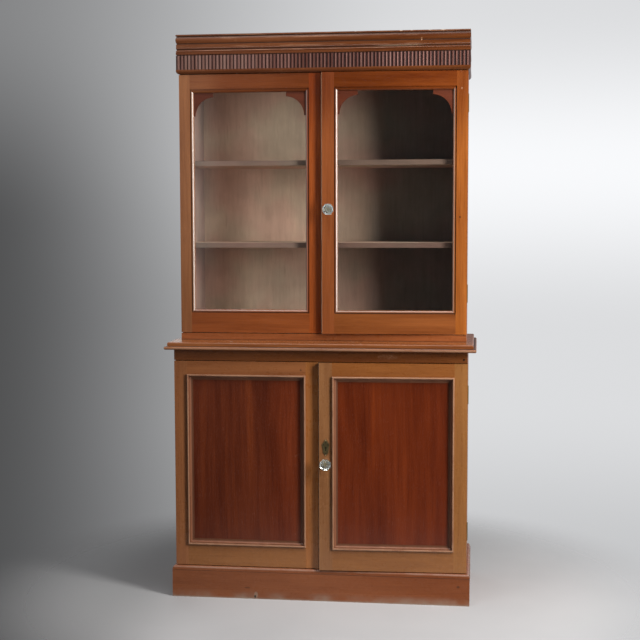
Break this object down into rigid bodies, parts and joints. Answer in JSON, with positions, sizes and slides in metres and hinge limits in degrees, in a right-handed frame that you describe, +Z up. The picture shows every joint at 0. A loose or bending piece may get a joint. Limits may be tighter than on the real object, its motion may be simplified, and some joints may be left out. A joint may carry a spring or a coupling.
{
  "type": "glazed bookcase",
  "caption": "Tall bookcase with glazed doors above a projecting cupboard with panelled doors, under a reeded frieze and moulded cornice.",
  "frame": {"origin": "middle of the bounding box's floor, where the plinth stands", "axes": "+Z up, doors face -Y, +X to the right seen from the front"},
  "size_m": [1.096, 0.4788, 2.004],
  "materials": {
    "case_wood": "French-polished mahogany, satin gloss",
    "door_wood": "French-polished mahogany, satin gloss",
    "panel_wood": "dark figured mahogany, polished",
    "moulding_wood": "polished mahogany mouldings",
    "inner_wood": "unpolished pine boards, aged",
    "pane": "plain window glass",
    "cut_glass": "clear cut crystal",
    "brass": "aged brass",
    "iron": "dull aged iron"
  },
  "bodies": {
    "case": {"base_board": "case_wood", "cornice_front": "moulding_wood", "cornice_returns": "moulding_wood", "cupboard_top": "case_wood", "frieze_bead": "moulding_wood", "frieze_board": "case_wood", "frieze_rail": "case_wood", "hinge_frame_leaves": "brass", "lower_back_boards": "inner_wood", "lower_head_rail": "inner_wood", "lower_shelf": "inner_wood", "lower_side_left": "case_wood", "lower_side_right": "case_wood", "plinth_back": "inner_wood", "plinth_front": "case_wood", "plinth_returns": "case_wood", "reeded_frieze": "moulding_wood", "reeded_returns": "moulding_wood", "upper_back_boards": "inner_wood", "upper_base_rail": "case_wood", "upper_bottom_board": "inner_wood", "upper_head_rail": "inner_wood", "upper_shelves": "inner_wood", "upper_side_left": "case_wood", "upper_side_right": "case_wood", "upper_top_board": "inner_wood"},
    "upper_left_door": {"upper_left_glass": "pane", "upper_left_glazing_beads": "door_wood", "upper_left_hinge_leaves": "brass", "upper_left_rails": "door_wood", "upper_left_spandrels": "moulding_wood", "upper_left_stiles": "door_wood"},
    "upper_right_door": {"upper_right_glass": "pane", "upper_right_glazing_beads": "door_wood", "upper_right_hinge_leaves": "brass", "upper_right_rails": "door_wood", "upper_right_spandrels": "moulding_wood", "upper_right_stiles": "door_wood", "upper_knob_glass": "cut_glass", "upper_knob_shank": "brass"},
    "lower_left_door": {"lower_left_hinge_leaves": "brass", "lower_left_panel": "panel_wood", "lower_left_panel_moulding": "moulding_wood", "lower_left_rails": "door_wood", "lower_left_stiles": "door_wood", "strike_plate": "brass", "bolt_plates": "brass"},
    "lower_right_door": {"lower_right_hinge_leaves": "brass", "lower_right_panel": "panel_wood", "lower_right_panel_moulding": "moulding_wood", "lower_right_rails": "door_wood", "lower_right_stiles": "door_wood", "lower_knob_glass": "cut_glass", "lower_knob_shank": "brass", "escutcheon": "brass", "lock_case": "iron"},
    "lock_bolt": {"lock_bolt": "iron"},
    "top_bolt": {"top_bolt": "brass"},
    "bottom_bolt": {"bottom_bolt": "brass"}
  },
  "joints": [
    {"name": "upper_left_hinge", "type": "hinge", "parent": "case", "child": "upper_left_door", "pos_m": [-0.5128, -0.06909, 1.404], "axis": [0, 0, -1], "range_deg": [0, 175]},
    {"name": "upper_right_hinge", "type": "hinge", "parent": "case", "child": "upper_right_door", "pos_m": [0.5128, -0.06909, 1.404], "axis": [0, 0, 1], "range_deg": [-2.2, 172.8]},
    {"name": "lower_left_hinge", "type": "hinge", "parent": "case", "child": "lower_left_door", "pos_m": [-0.5188, -0.16109, 0.48275], "axis": [0, 0, -1], "range_deg": [0, 175]},
    {"name": "lower_right_hinge", "type": "hinge", "parent": "case", "child": "lower_right_door", "pos_m": [0.5188, -0.16109, 0.48275], "axis": [0, 0, 1], "range_deg": [-2.2, 172.8]},
    {"name": "lock_bolt_slide", "type": "slide", "parent": "lower_right_door", "child": "lock_bolt", "axis": [-0.9993, -0.0384, 0], "range_m": [0, 0.009]},
    {"name": "top_bolt_slide", "type": "slide", "parent": "lower_left_door", "child": "top_bolt", "axis": [0, 0, 1], "range_m": [0, 0.012]},
    {"name": "bottom_bolt_slide", "type": "slide", "parent": "lower_left_door", "child": "bottom_bolt", "axis": [0, 0, -1], "range_m": [0, 0.012]}
  ]
}
